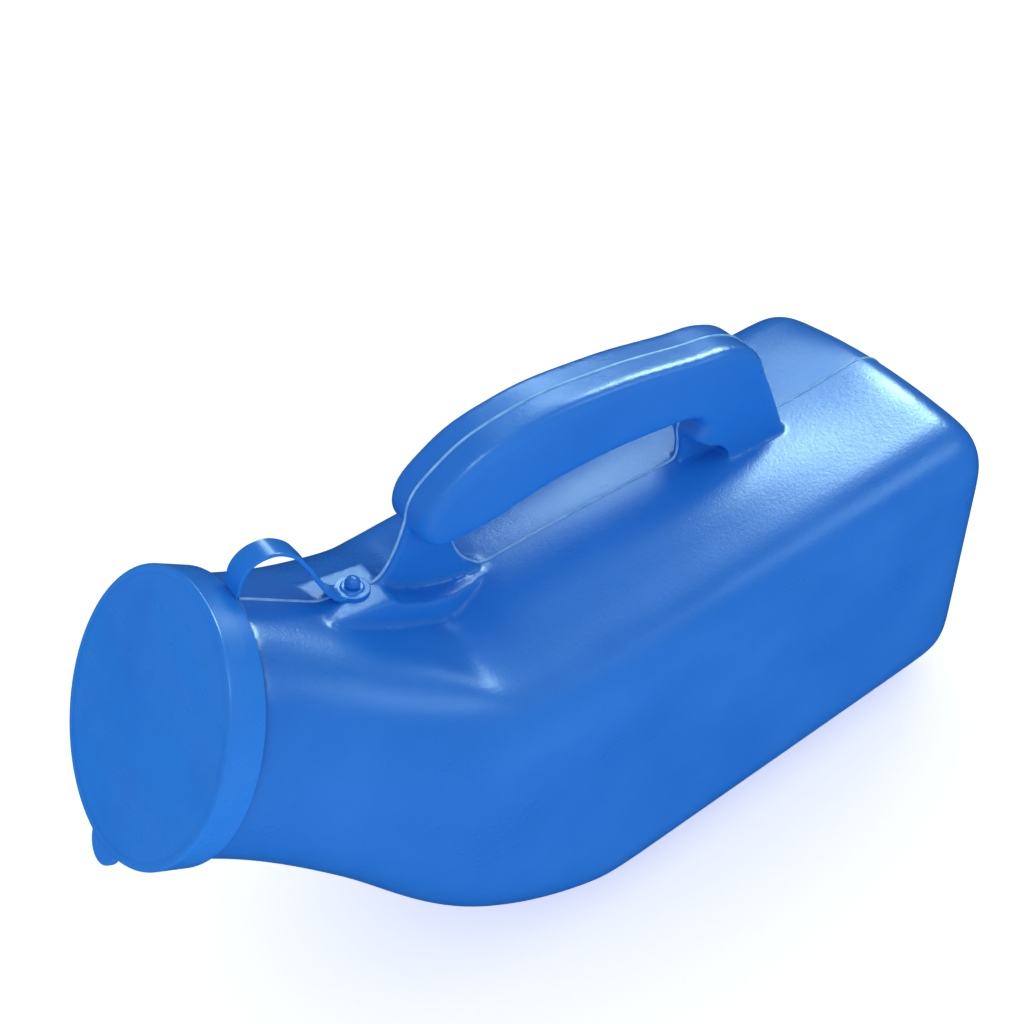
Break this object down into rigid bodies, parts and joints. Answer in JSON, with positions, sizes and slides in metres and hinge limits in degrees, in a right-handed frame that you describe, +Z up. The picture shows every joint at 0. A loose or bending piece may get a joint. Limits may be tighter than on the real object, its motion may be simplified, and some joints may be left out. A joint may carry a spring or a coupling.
{
  "type": "urine bottle",
  "caption": "Lying male urine bottle with a slanted round neck, a moulded-in carrying handle and a snap lid on a flexible strap.",
  "frame": {"origin": "middle of the flat underside, on the centre plane", "axes": "+X from the mouth to the base end, +Z up, the bottle lying on its underside"},
  "size_m": [0.2702, 0.0952, 0.1633],
  "materials": {
    "bottle_plastic": "satin blow-moulded polyethylene, finely mottled on top",
    "lid_plastic": "smooth injection-moulded polyethylene"
  },
  "bodies": {
    "bottle": {"bottle_shell": "bottle_plastic", "handle": "bottle_plastic", "strap_stud": "bottle_plastic", "lid_strap": "lid_plastic"},
    "lid": {"lid": "lid_plastic"}
  },
  "joints": [
    {"name": "lid_hinge", "type": "hinge", "parent": "bottle", "child": "lid", "pos_m": [-0.12759, 0, 0.15086], "axis": [0, 1, 0], "range_deg": [0, 110], "deforming": ["lid_strap"]}
  ]
}
